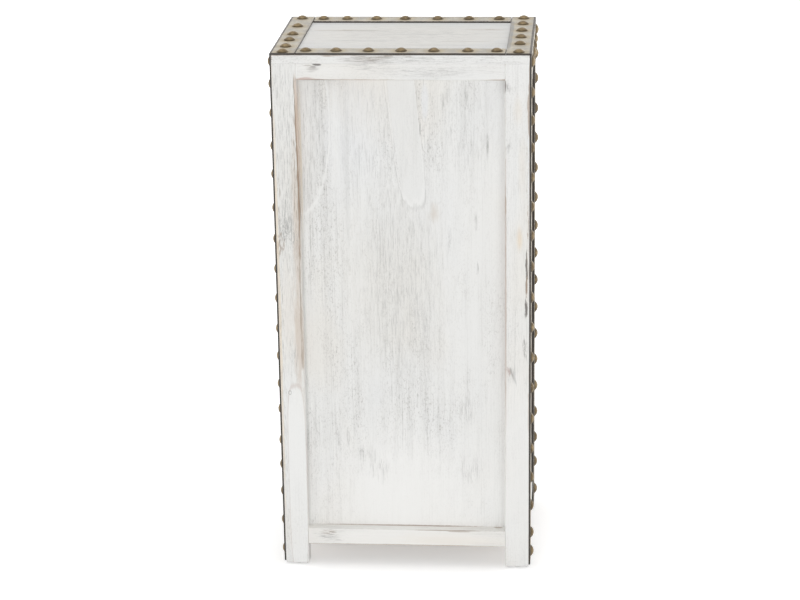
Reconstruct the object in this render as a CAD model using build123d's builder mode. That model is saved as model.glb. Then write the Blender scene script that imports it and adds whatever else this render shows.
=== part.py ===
from build123d import *
import os

os.makedirs("parts", exist_ok=True)

# A tall narrow chest of drawers in whitewashed wood, with nailed straps along its edges.
# +Z is up, the drawers open towards -Y, and the plain back faces +Y.
# The origin is on the floor, in the middle of the box round the whole chest.

# Driving sizes of the case
case_width = 355
case_depth = 261
case_height = 758
drawer_count = 4

# Frames of the four faces
post_arm = 34
frame_thickness = 20
top_board_thickness = 12
top_rail_height = 23
bottom_rail_height = 25
divider_height = 18
foot_height = 31.5
foot_chamfer = 2
edge_ease = 0.8

# Stub tenons and the mortises that take them
tenon_inset = 5
tenon_thickness = 8
tenon_shoulder = 4
tenon_length = 14
tenon_end_gap = 0.5
tenon_slack = 0.1

# Panels set in rabbets on the inner side of the frames
panel_thickness = 5
rabbet_width = 8
panel_slack = 0.3

# Straps and the domed nails that hold them
strap_width = 35
strap_thickness = 2.5
strap_foot_gap = 4.5
strap_joint_gap = 0.8
nail_head_radius = 8.25
nail_head_height = 4.5
nail_rim_height = 0.5
nail_flank_radius = 6.4
nail_flank_height = 2.2
nail_crown_radius = 3.6
nail_crown_height = 3.85
nail_shank_radius = 1
nail_shank_in_wood = 9
nail_hole_slack = 0.2

# Glides under the feet
glide_height = 3
glide_radius = 7.5
glide_rim_rise = 2.2
glide_foot_radius = 4
glide_pin_radius = 1.2
glide_pin_length = 12

# Clearance between a drawer and what carries it
running_clearance = 0.3

# Runners, guides, cleats and stops inside the case
guide_height = 20
runner_lip = 2
stop_length = 12
stop_height = 12

# Drawer boxes
front_gap = 1.2
front_thickness = 16
front_ease = 1.6
side_rabbet = 6
box_side_thickness = 10
box_head_gap = 15
box_back_thickness = 10
box_tail = 30
box_bottom_thickness = 5
box_bottom_rise = 8
box_groove = 4
box_slack = 0.1
stop_tab_width = 40
stop_tab_catch = 8

# Ring pulls
plate_radius = 27
plate_thickness = 1.8
plate_ease = 0.8
ring_radius = 20
ring_wire_radius = 2.4
eye_rise = 17
eye_width = 6
eye_wall = 2.6
eye_hole_slack = 0.6
eye_floor = 0.8
bolt_radius = 2.4
bolt_hole_slack = 0.2
bolt_tail = 1.5
nut_thickness = 4
nut_radius = 4.6
nut_slack = 0.1

# Length by which a cut passes the face that it leaves through
overrun = 1

# Nail places along the straps, as shares of each strap's length
back_row_shares = (0.045, 0.191, 0.346, 0.502, 0.659, 0.820, 0.958)
front_row_shares = (0.047, 0.168, 0.317, 0.463, 0.628, 0.787, 0.940)
top_right_shares = (0.036, 0.175, 0.342, 0.498, 0.719, 0.943)
top_left_shares = (0.040, 0.250, 0.430, 0.605, 0.790, 0.950)
side_row_shares = (0.12, 0.38, 0.63, 0.88)
right_back_shares = (
    0.018, 0.078, 0.138, 0.193, 0.243, 0.307, 0.358, 0.414, 0.469,
    0.529, 0.587, 0.646, 0.706, 0.771, 0.825, 0.887, 0.942, 0.984,
)
left_back_shares = (
    0.020, 0.059, 0.115, 0.173, 0.232, 0.293, 0.355, 0.416, 0.476,
    0.535, 0.595, 0.655, 0.711, 0.767, 0.823, 0.875, 0.927, 0.984,
)
left_front_shares = (
    0.028, 0.088, 0.141, 0.197, 0.253, 0.309, 0.364, 0.420, 0.477,
    0.533, 0.590, 0.648, 0.708, 0.769, 0.828, 0.888, 0.937, 0.984,
)

# Where the ring's eye stands out from a drawer front
eye_hole_radius = ring_wire_radius + eye_hole_slack
eye_radius = eye_hole_radius + eye_wall
pivot_out = plate_thickness + eye_floor + eye_hole_radius
pull_reach = pivot_out + eye_radius

# Places across, along and up the case
side_x = case_width / 2
y_back = (case_depth + pull_reach) / 2
y_front = y_back - case_depth
y_middle = (y_front + y_back) / 2
half_depth = case_depth / 2
opening_half = side_x - post_arm
side_opening_half = half_depth - post_arm
board_low = case_height - top_board_thickness
opening_high = board_low - top_rail_height
opening_low = foot_height + bottom_rail_height

# Each face has a plane: X along it, Y inwards from it and Z up from the foot of the wood
front_face = Plane(origin=(0, y_front, glide_height), x_dir=(1, 0, 0), z_dir=(0, 0, 1))
back_face = Plane(origin=(0, y_back, glide_height), x_dir=(-1, 0, 0), z_dir=(0, 0, 1))
left_face = Plane(origin=(-side_x, y_middle, glide_height), x_dir=(0, -1, 0), z_dir=(0, 0, 1))
right_face = Plane(origin=(side_x, y_middle, glide_height), x_dir=(0, 1, 0), z_dir=(0, 0, 1))

# Drawer openings, from the lowest to the highest
opening_step = (opening_high - opening_low + divider_height) / drawer_count
drawer_opening_height = opening_step - divider_height
drawer_lows = [opening_low + opening_step * k for k in range(drawer_count)]
divider_lows = [low - divider_height for low in drawer_lows[1:]]

# Rails of a face, as pairs of lowest and highest heights
bottom_rail_span = (foot_height, opening_low)
top_rail_span = (opening_high, board_low)
divider_spans = [(low, low + divider_height) for low in divider_lows]

# Sizes of the drawer box
front_half = opening_half - front_gap
box_inner_half = front_half - box_side_thickness
box_side_height = drawer_opening_height - box_head_gap
box_end = case_depth - frame_thickness - stop_length - running_clearance
back_place = box_end - box_tail - box_back_thickness
drawer_travel = back_place - frame_thickness - running_clearance
print(f"Each drawer slides out by {drawer_travel:.1f} mm")
box_side_inset = post_arm + front_gap
guide_inset = box_side_inset - running_clearance
runner_inset = box_side_inset + box_side_thickness + runner_lip


def slab(face, first, second, mode=Mode.ADD):
    """A block between two corners, each given as (along, inwards, up) on a face."""
    ends = [tuple(face.from_local_coords(corner)) for corner in (first, second)]
    middle = tuple((a + b) / 2 for a, b in zip(*ends))
    sides = tuple(abs(b - a) for a, b in zip(*ends))
    with Locations(middle):
        Box(*sides, mode=mode)


def bar(face, start, end, section):
    """A bar along a face, drawn out from a section of (inwards, up) points."""
    cut = Plane(
        origin=face.from_local_coords((start, 0, 0)), x_dir=face.y_dir, z_dir=face.x_dir
    )
    with BuildSketch(cut) as profile:
        with BuildLine():
            Polyline(*section, close=True)
        make_face()
    extrude(profile.sketch, amount=end - start)


def write(piece, label):
    """Names a finished piece and writes it."""
    piece.part.label = label
    export_step(piece.part, f"parts/{label}.step")


# Angle posts


def mortise(face, side, span):
    """The two mortises that a rail at this height would need, one in each arm of a post."""
    low, high = span[0] + tenon_shoulder, span[1] - tenon_shoulder
    near, far = post_arm + overrun, post_arm - tenon_length
    inner, outer = tenon_inset, tenon_inset + tenon_thickness
    return (
        ((side * (side_x - near), inner, low), (side * (side_x - far), outer, high)),
        ((side * (side_x - inner), near, low), (side * (side_x - outer), far, high)),
    )


def angle_post(face, side, face_spans, face_panel, label):
    """A corner post of two boards glued at right angles, with its mortises and rabbets."""
    plan = (
        (0, 0),
        (post_arm, 0),
        (post_arm, frame_thickness),
        (frame_thickness, frame_thickness),
        (frame_thickness, post_arm),
        (0, post_arm),
    )
    opening_edges = ((post_arm, 0), (0, post_arm))
    panel_low = opening_low - rabbet_width
    panel_high = opening_high + rabbet_width
    recess = frame_thickness - panel_thickness
    rabbet = post_arm - rabbet_width
    with BuildPart() as post:
        with BuildSketch(face) as section:
            with BuildLine():
                Polyline(*((side * (side_x - x), y) for x, y in plan), close=True)
            make_face()
        extrude(amount=board_low)
        chamfer(post.faces().sort_by(Axis.Z)[0].edges(), foot_chamfer)
        for x, y in opening_edges:
            place = face.from_local_coords((side * (side_x - x), y, board_low / 2))
            chamfer(post.edges().sort_by_distance(place)[0], edge_ease)
        for span in face_spans:
            slab(face, *mortise(face, side, span)[0], mode=Mode.SUBTRACT)
        for span in (bottom_rail_span, top_rail_span):
            slab(face, *mortise(face, side, span)[1], mode=Mode.SUBTRACT)
        if face_panel:
            slab(
                face,
                (side * (side_x - rabbet), recess, panel_low),
                (side * (side_x - post_arm - overrun), frame_thickness + overrun, panel_high),
                mode=Mode.SUBTRACT,
            )
        slab(
            face,
            (side * (side_x - recess), rabbet, panel_low),
            (side * (side_x - frame_thickness - overrun), post_arm + overrun, panel_high),
            mode=Mode.SUBTRACT,
        )
    write(post, label)


front_spans = [bottom_rail_span, *divider_spans, top_rail_span]
back_spans = [bottom_rail_span, top_rail_span]
angle_post(front_face, -1, front_spans, False, "post_front_left")
angle_post(front_face, 1, front_spans, False, "post_front_right")
angle_post(back_face, 1, back_spans, True, "post_back_left")
angle_post(back_face, -1, back_spans, True, "post_back_right")

# Rails and dividers


def rail(face, half, span, eased, rabbet, label):
    """A rail between two posts, with a stub tenon at each end.

    eased and rabbet name the edge, low or high, that is eased outside or rabbeted inside.
    """
    low, high = span
    recess = frame_thickness - panel_thickness
    section = [(0, low), (0, high), (frame_thickness, high), (frame_thickness, low)]
    if rabbet == "low":
        section[3:] = [(frame_thickness, low + rabbet_width), (recess, low + rabbet_width), (recess, low)]
    if rabbet == "high":
        section[2:3] = [(recess, high), (recess, high - rabbet_width), (frame_thickness, high - rabbet_width)]
    if "high" in eased:
        section[1:2] = [(0, high - edge_ease), (edge_ease, high)]
    if "low" in eased:
        section[0:1] = [(edge_ease, low), (0, low + edge_ease)]
    reach = half + tenon_length - tenon_end_gap
    with BuildPart() as piece:
        bar(face, -half, half, section)
        slab(
            face,
            (-reach, tenon_inset + tenon_slack, low + tenon_shoulder + tenon_slack),
            (reach, tenon_inset + tenon_thickness - tenon_slack, high - tenon_shoulder - tenon_slack),
        )
    write(piece, label)


rail(back_face, opening_half, top_rail_span, ["low"], "low", "back_top_rail")
rail(back_face, opening_half, bottom_rail_span, ["high"], "high", "back_bottom_rail")
rail(front_face, opening_half, top_rail_span, ["low"], None, "front_top_rail")
rail(front_face, opening_half, bottom_rail_span, ["high"], None, "front_bottom_rail")
for number, span in enumerate(divider_spans, 1):
    rail(front_face, opening_half, span, ["low", "high"], None, f"drawer_divider_{number}")
for face, side in ((left_face, "left"), (right_face, "right")):
    rail(face, side_opening_half, top_rail_span, ["low"], "low", f"side_top_rail_{side}")
    rail(face, side_opening_half, bottom_rail_span, ["high"], "high", f"side_bottom_rail_{side}")

# Panels


def panel(face, half, label):
    """A thin panel lying in the rabbets of its frame, flush with the frame's inner side."""
    wide = half + rabbet_width - panel_slack
    with BuildPart() as piece:
        slab(
            face,
            (-wide, frame_thickness - panel_thickness, opening_low - rabbet_width + panel_slack),
            (wide, frame_thickness, opening_high + rabbet_width - panel_slack),
        )
    write(piece, label)


panel(back_face, opening_half, "back_panel")
panel(left_face, side_opening_half, "side_panel_left")
panel(right_face, side_opening_half, "side_panel_right")

# Top board

with BuildPart() as top_board:
    slab(front_face, (-side_x, 0, board_low), (side_x, case_depth, case_height))
write(top_board, "top_board")

# Runners with their guides, the cleats under the top board and the stops behind the drawers

run_half = half_depth - frame_thickness
for face, side in ((left_face, "left"), (right_face, "right")):
    with BuildPart() as runners:
        for low in drawer_lows:
            shelf = low - divider_height
            bar(
                face,
                -run_half,
                run_half,
                [
                    (frame_thickness, shelf),
                    (runner_inset, shelf),
                    (runner_inset, low),
                    (guide_inset, low),
                    (guide_inset, low + guide_height),
                    (frame_thickness, low + guide_height),
                ],
            )
    write(runners, f"drawer_runners_{side}")

with BuildPart() as top_cleats:
    for face in (left_face, right_face):
        slab(face, (-run_half, frame_thickness, opening_high), (run_half, runner_inset, board_low))
write(top_cleats, "top_cleats")

with BuildPart() as drawer_stops:
    for side in (-1, 1):
        for low in drawer_lows:
            slab(
                back_face,
                (side * (side_x - guide_inset), frame_thickness, low),
                (side * (side_x - runner_inset), frame_thickness + stop_length, low + stop_height),
            )
write(drawer_stops, "drawer_stops")

# Glides nailed under the feet

with BuildPart() as glide:
    with BuildSketch(Plane.XZ):
        with BuildLine():
            Polyline(
                (0, 0),
                (glide_foot_radius, 0),
                (glide_radius, glide_rim_rise),
                (glide_radius, glide_height),
                (glide_pin_radius, glide_height),
                (glide_pin_radius, glide_height + glide_pin_length),
                (0, glide_height + glide_pin_length),
                close=True,
            )
        make_face()
    revolve(axis=Axis.Z)

glide_x = side_x - post_arm / 2
glide_ys = (y_front + frame_thickness / 2, y_back - frame_thickness / 2)
with BuildPart() as foot_glides:
    with Locations(*((x, y, 0) for x in (-glide_x, glide_x) for y in glide_ys)):
        add(glide.part)
write(foot_glides, "foot_glides")

# Nails, as one head and shank with its seat on the strap at zero

with BuildPart() as nail:
    with BuildSketch(Plane.XZ):
        with BuildLine():
            Polyline(
                (0, -strap_thickness - nail_shank_in_wood),
                (nail_shank_radius, -strap_thickness - nail_shank_in_wood),
                (nail_shank_radius, 0),
                (nail_head_radius, 0),
                (nail_head_radius, nail_rim_height),
                (nail_flank_radius, nail_flank_height),
                (nail_crown_radius, nail_crown_height),
                (0, nail_head_height),
                close=True,
            )
        make_face()
    revolve(axis=Axis.Z)

# Straps: each is a face, its outline on that face and the nails along its middle


def strap_spot(face, along, up):
    """A plane on a strap's outer surface, looking out of the face."""
    return Plane(
        origin=face.from_local_coords((along, -strap_thickness, up)), x_dir=face.x_dir, z_dir=-face.y_dir
    )


def straps_and_nails(straps, spots, strap_label, nail_label):
    """Writes the straps of one face, pierced for their nails, and the nails."""
    holes = [spot.location for spot in spots]
    with BuildPart() as strips:
        for face, first, second in straps:
            slab(face, first, second)
        with Locations(*holes):
            Cylinder(
                nail_shank_radius + nail_hole_slack, 2 * (strap_thickness + overrun), mode=Mode.SUBTRACT
            )
    write(strips, strap_label)
    with BuildPart() as nails:
        with Locations(*holes):
            add(nail.part)
    write(nails, nail_label)


strap_low = strap_foot_gap
strap_long = case_height - strap_low
strap_middle = strap_width / 2
row_height = case_height - strap_middle


def upright_spots(face, along, shares):
    """Nail places up a vertical strap."""
    return [strap_spot(face, along, strap_low + share * strap_long) for share in shares]


def row_spots(face, half, shares):
    """Nail places along the horizontal strap between two vertical ones."""
    return [strap_spot(face, (2 * share - 1) * half, row_height) for share in shares]


def side_straps(face, low_shares, high_shares, side):
    """Two vertical straps and the short one between them at the top of a side."""
    edge = half_depth
    inner = edge - strap_width
    row_half = inner - strap_joint_gap
    straps = [
        (face, (-edge, -strap_thickness, strap_low), (-inner, 0, case_height)),
        (face, (inner, -strap_thickness, strap_low), (edge, 0, case_height)),
        (face, (-row_half, -strap_thickness, case_height - strap_width), (row_half, 0, case_height)),
    ]
    spots = upright_spots(face, strap_middle - edge, low_shares)
    spots += upright_spots(face, edge - strap_middle, high_shares)
    spots += row_spots(face, row_half, side_row_shares)
    straps_and_nails(straps, spots, f"side_straps_{side}", f"side_nails_{side}")


side_straps(left_face, left_back_shares, left_front_shares, "left")
side_straps(right_face, left_front_shares, right_back_shares, "right")

# The front straps lap over the front edges of the side straps

front_edge = side_x + strap_thickness
front_inner = front_edge - strap_width
front_row_half = front_inner - strap_joint_gap
front_straps = [
    (front_face, (-front_edge, -strap_thickness, strap_low), (-front_inner, 0, case_height)),
    (front_face, (front_inner, -strap_thickness, strap_low), (front_edge, 0, case_height)),
    (
        front_face,
        (-front_row_half, -strap_thickness, case_height - strap_width),
        (front_row_half, 0, case_height),
    ),
]
front_spots = upright_spots(front_face, strap_middle - front_edge, right_back_shares)
front_spots += upright_spots(front_face, front_edge - strap_middle, left_back_shares)
front_spots += row_spots(front_face, front_row_half, front_row_shares)
straps_and_nails(front_straps, front_spots, "front_straps", "front_nails")

# The top straps lap over the top edges of the side and front straps

top_face = Plane(origin=(0, y_back, glide_height + case_height), x_dir=(-1, 0, 0), z_dir=(0, -1, 0))
top_long = case_depth + strap_thickness
top_row_half = front_inner - strap_joint_gap
top_straps = [
    (top_face, (-front_edge, -strap_thickness, 0), (-front_inner, 0, top_long)),
    (top_face, (front_inner, -strap_thickness, 0), (front_edge, 0, top_long)),
    (top_face, (-top_row_half, -strap_thickness, 0), (top_row_half, 0, strap_width)),
    (top_face, (-top_row_half, -strap_thickness, top_long - strap_width), (top_row_half, 0, top_long)),
]
top_middle = front_edge - strap_middle
top_spots = [strap_spot(top_face, -top_middle, share * top_long) for share in top_right_shares]
top_spots += [strap_spot(top_face, top_middle, share * top_long) for share in top_left_shares]
for shares, place in ((back_row_shares, strap_middle), (front_row_shares, top_long - strap_middle)):
    top_spots += [strap_spot(top_face, (2 * share - 1) * top_row_half, place) for share in shares]
straps_and_nails(top_straps, top_spots, "top_straps", "top_nails")

# Drawers

for number, low in enumerate(drawer_lows, 1):
    front_low = low + front_gap
    front_high = low + drawer_opening_height - front_gap
    side_low = low + running_clearance
    side_high = side_low + box_side_height
    groove_low = side_low + box_bottom_rise
    groove_high = groove_low + box_bottom_thickness
    pull_height = (front_low + front_high) / 2
    # Out of the drawer front, with X across it and Y up
    pull_plane = Plane(
        origin=front_face.from_local_coords((0, 0, pull_height)), x_dir=(1, 0, 0), z_dir=(0, -1, 0)
    )

    with BuildPart() as drawer_front:
        slab(front_face, (-front_half, 0, front_low), (front_half, front_thickness, front_high))
        fillet(drawer_front.faces().sort_by(Axis.Y)[0].edges(), front_ease)
        for side in (-1, 1):
            slab(
                front_face,
                (side * box_inner_half, front_thickness - side_rabbet, front_low - overrun),
                (side * (front_half + overrun), front_thickness + overrun, front_high + overrun),
                mode=Mode.SUBTRACT,
            )
        slab(
            front_face,
            (-box_inner_half - overrun, front_thickness - box_groove, groove_low),
            (box_inner_half + overrun, front_thickness + overrun, groove_high),
            mode=Mode.SUBTRACT,
        )
        with Locations(pull_plane.location):
            Cylinder(bolt_radius + bolt_hole_slack, 2 * (front_thickness + overrun), mode=Mode.SUBTRACT)
    write(drawer_front, f"drawer_front_{number}")

    for side, name in ((-1, "left"), (1, "right")):
        with BuildPart() as drawer_side:
            slab(
                front_face,
                (side * box_inner_half, front_thickness - side_rabbet, side_low),
                (side * front_half, box_end, side_high),
            )
            slab(
                front_face,
                (side * (box_inner_half - overrun), 0, groove_low),
                (side * (box_inner_half + box_groove), box_end + overrun, groove_high),
                mode=Mode.SUBTRACT,
            )
        write(drawer_side, f"drawer_side_{name}_{number}")

    with BuildPart() as drawer_back:
        slab(
            front_face,
            (-box_inner_half, back_place, groove_high),
            (box_inner_half, back_place + box_back_thickness, side_high),
        )
        slab(
            front_face,
            (-stop_tab_width / 2, back_place, groove_high),
            (
                stop_tab_width / 2,
                back_place + box_back_thickness,
                low + drawer_opening_height + stop_tab_catch,
            ),
        )
    write(drawer_back, f"drawer_back_{number}")

    with BuildPart() as drawer_bottom:
        bottom_half = box_inner_half + box_groove - box_slack
        slab(
            front_face,
            (-bottom_half, front_thickness - box_groove + box_slack, groove_low),
            (bottom_half, back_place + box_back_thickness, groove_high),
        )
    write(drawer_bottom, f"drawer_bottom_{number}")

    with BuildPart(pull_plane) as pull_plate:
        Cylinder(plate_radius, plate_thickness, align=(Align.CENTER, Align.CENTER, Align.MIN))
        fillet(pull_plate.edges().filter_by(GeomType.CIRCLE).sort_by(Axis.Y)[0], plate_ease)
        with Locations((0, 0, -front_thickness - nut_thickness - bolt_tail)):
            Cylinder(
                bolt_radius,
                front_thickness + nut_thickness + bolt_tail,
                align=(Align.CENTER, Align.CENTER, Align.MIN),
            )
        # The eye that the ring hangs in
        eye_plane = Plane(
            origin=pull_plane.from_local_coords((0, eye_rise, 0)), x_dir=(0, -1, 0), z_dir=(1, 0, 0)
        )
        with BuildSketch(eye_plane) as eye:
            with Locations((pivot_out, 0)):
                Circle(eye_radius)
            with Locations((pivot_out / 2, 0)):
                Rectangle(pivot_out, 2 * eye_radius)
        extrude(eye.sketch, amount=eye_width / 2, both=True)
        with Locations((0, eye_rise, pivot_out)):
            Cylinder(eye_hole_radius, eye_width + 2 * overrun, rotation=(0, 90, 0), mode=Mode.SUBTRACT)
        # The nut inside the drawer
        nut_plane = pull_plane.offset(-front_thickness - nut_thickness)
        with BuildSketch(nut_plane) as nut:
            RegularPolygon(nut_radius, 6)
            Circle(bolt_radius + nut_slack, mode=Mode.SUBTRACT)
        extrude(nut.sketch, amount=nut_thickness)
    write(pull_plate, f"pull_plate_{number}")

    with BuildPart(pull_plane) as pull_ring:
        with Locations((0, eye_rise - ring_radius, pivot_out)):
            Torus(ring_radius, ring_wire_radius)
    write(pull_ring, f"pull_ring_{number}")
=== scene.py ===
import math
import random

import bmesh
import bpy
from mathutils import Matrix, Vector


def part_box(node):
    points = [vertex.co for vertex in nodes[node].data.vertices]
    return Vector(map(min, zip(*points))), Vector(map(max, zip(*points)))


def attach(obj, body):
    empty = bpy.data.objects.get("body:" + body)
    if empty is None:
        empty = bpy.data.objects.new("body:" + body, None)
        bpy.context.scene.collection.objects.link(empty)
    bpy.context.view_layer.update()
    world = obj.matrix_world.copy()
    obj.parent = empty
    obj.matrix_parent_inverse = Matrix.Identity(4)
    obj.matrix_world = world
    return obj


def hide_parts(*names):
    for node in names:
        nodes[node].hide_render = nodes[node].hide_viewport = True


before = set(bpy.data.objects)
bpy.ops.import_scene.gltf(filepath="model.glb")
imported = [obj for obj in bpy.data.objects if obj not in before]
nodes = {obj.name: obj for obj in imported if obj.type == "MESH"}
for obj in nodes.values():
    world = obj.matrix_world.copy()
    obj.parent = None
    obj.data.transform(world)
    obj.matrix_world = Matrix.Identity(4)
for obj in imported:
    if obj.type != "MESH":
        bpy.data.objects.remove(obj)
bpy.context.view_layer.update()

MM = 0.001

# Sizes of the chest, read from the frame
board_low, board_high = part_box("top_board")
post_low, post_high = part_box("post_back_right")
side_x = board_high.x
y_front = board_low.y
y_back = board_high.y
z_foot = post_low.z
z_top = board_high.z
post_arm = post_high.x - post_low.x


# Camera at the photograph's place: distances from the chest's back face, its left edge in the
# photograph and the foot of the wood

CAMERA_ACROSS = 432.3 * MM
CAMERA_AWAY = 3194.9 * MM
CAMERA_UP = 1429.2 * MM
CAMERA_PITCH = 0.3087
CAMERA_YAW = -0.081
CAMERA_ROLL = -0.0147
CAMERA_CLIP_END = 100
FOCAL_PIXELS = 2385.0
IMAGE_WIDTH = 800
SENSOR_WIDTH = 36.0


def make_camera():
    """The camera looks at the plain back, from above and from a little to the photograph's right."""
    data = bpy.data.cameras.new("camera")
    data.sensor_width = SENSOR_WIDTH
    data.lens = FOCAL_PIXELS / IMAGE_WIDTH * SENSOR_WIDTH
    data.clip_end = CAMERA_CLIP_END
    camera = bpy.data.objects.new("camera", data)
    bpy.context.scene.collection.objects.link(camera)
    pitch, yaw, roll = CAMERA_PITCH, CAMERA_YAW, CAMERA_ROLL
    ahead = Vector((-math.sin(yaw) * math.cos(pitch), -math.cos(yaw) * math.cos(pitch), -math.sin(pitch)))
    level = Vector((-math.cos(yaw), math.sin(yaw), 0))
    up = level.cross(ahead)
    right = level * math.cos(roll) + up * math.sin(roll)
    top = up * math.cos(roll) - level * math.sin(roll)
    place = Vector((side_x - CAMERA_ACROSS, y_back + CAMERA_AWAY, z_foot + CAMERA_UP))
    turn = Matrix((right, top, -ahead)).transposed()
    camera.matrix_world = Matrix.Translation(place) @ turn.to_4x4()
    bpy.context.scene.camera = camera


# Node trees


class Graph:
    """Builds a node tree with short calls: an input may be a number, a tuple or a socket."""

    def __init__(self, tree):
        self.tree = tree

    def node(self, kind, inputs=None, **settings):
        made = self.tree.nodes.new(kind)
        for name, value in settings.items():
            setattr(made, name, value)
        for name, value in (inputs or {}).items():
            self.feed(made.inputs[name], value)
        return made

    def feed(self, socket, value):
        if isinstance(value, bpy.types.NodeSocket):
            self.tree.links.new(value, socket)
        else:
            socket.default_value = value

    def math(self, operation, *values, clamp=False):
        made = self.node("ShaderNodeMath", operation=operation, use_clamp=clamp)
        for socket, value in zip(made.inputs, values):
            self.feed(socket, value)
        return made.outputs[0]

    def vector(self, operation, *values):
        made = self.node("ShaderNodeVectorMath", operation=operation)
        for socket, value in zip(made.inputs, values):
            self.feed(socket, value)
        return made.outputs["Value" if operation == "LENGTH" else "Vector"]

    def mix(self, factor, first, second):
        made = self.node("ShaderNodeMix", data_type="RGBA")
        self.feed(made.inputs[0], factor)
        self.feed(made.inputs[6], first)
        self.feed(made.inputs[7], second)
        return made.outputs[2]

    def noise(self, vector, scale, detail=2.0, roughness=0.5, output="Fac"):
        inputs = {"Vector": vector, "Scale": scale, "Detail": detail, "Roughness": roughness}
        return self.node("ShaderNodeTexNoise", inputs).outputs[output]

    def step(self, value, low, high, first=0.0, last=1.0):
        """A smooth step from first to last as value goes from low to high."""
        inputs = {"Value": value, "From Min": low, "From Max": high, "To Min": first, "To Max": last}
        return self.node("ShaderNodeMapRange", inputs, interpolation_type="SMOOTHSTEP").outputs[0]

    def bump(self, height, strength, distance):
        inputs = {"Height": height, "Strength": strength, "Distance": distance}
        return self.node("ShaderNodeBump", inputs).outputs[0]

    def attribute(self, name):
        return self.node("ShaderNodeAttribute", attribute_name=name).outputs["Fac"]

    def combine(self, x, y, z):
        return self.node("ShaderNodeCombineXYZ", {"X": x, "Y": y, "Z": z}).outputs[0]

    def separate(self, vector):
        return self.node("ShaderNodeSeparateXYZ", {"Vector": vector}).outputs


def new_material(name):
    """A material with its graph, its surface shader and its object coordinates."""
    made = bpy.data.materials.new(name)
    made.use_nodes = True
    graph = Graph(made.node_tree)
    shader = made.node_tree.nodes["Principled BSDF"]
    place = graph.node("ShaderNodeTexCoord").outputs["Object"]
    return made, graph, shader, place


# Wood under a thin whitewash

PAINT_WHITE = (0.83, 0.83, 0.815, 1)
PAINT_CREAM = (0.82, 0.795, 0.745, 1)
PAINT_BLUE = (0.755, 0.775, 0.80, 1)
GRAIN_GREY = (0.30, 0.285, 0.26, 1)
WORN_BROWN = (0.34, 0.225, 0.14, 1)
DEEP_BROWN = (0.10, 0.075, 0.055, 1)

# How strongly each layer of the grain shows through the paint
LINE_SHARE = 0.42
DASH_SHARE = 0.28
SPECK_SHARE = 0.42
RING_SHARE = 0.08

# How far in from a board's edge the paint is rubbed off, how softly that ends, and how wide a
# dark crease is
WEAR_REACH = 3.4 * MM
WEAR_END = (-0.2 * MM, 0.9 * MM)
CREASE_END = (0.1 * MM, 0.8 * MM)

WHITEWASH_INPUTS = {
    "Grain": "Vector", "Edge": "Float", "Seam": "Float", "Thin": "Float", "Rings": "Float", "Wear": "Float",
}
WHITEWASH_OUTPUTS = {"Color": "Color", "Roughness": "Float", "Height": "Float"}


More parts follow.
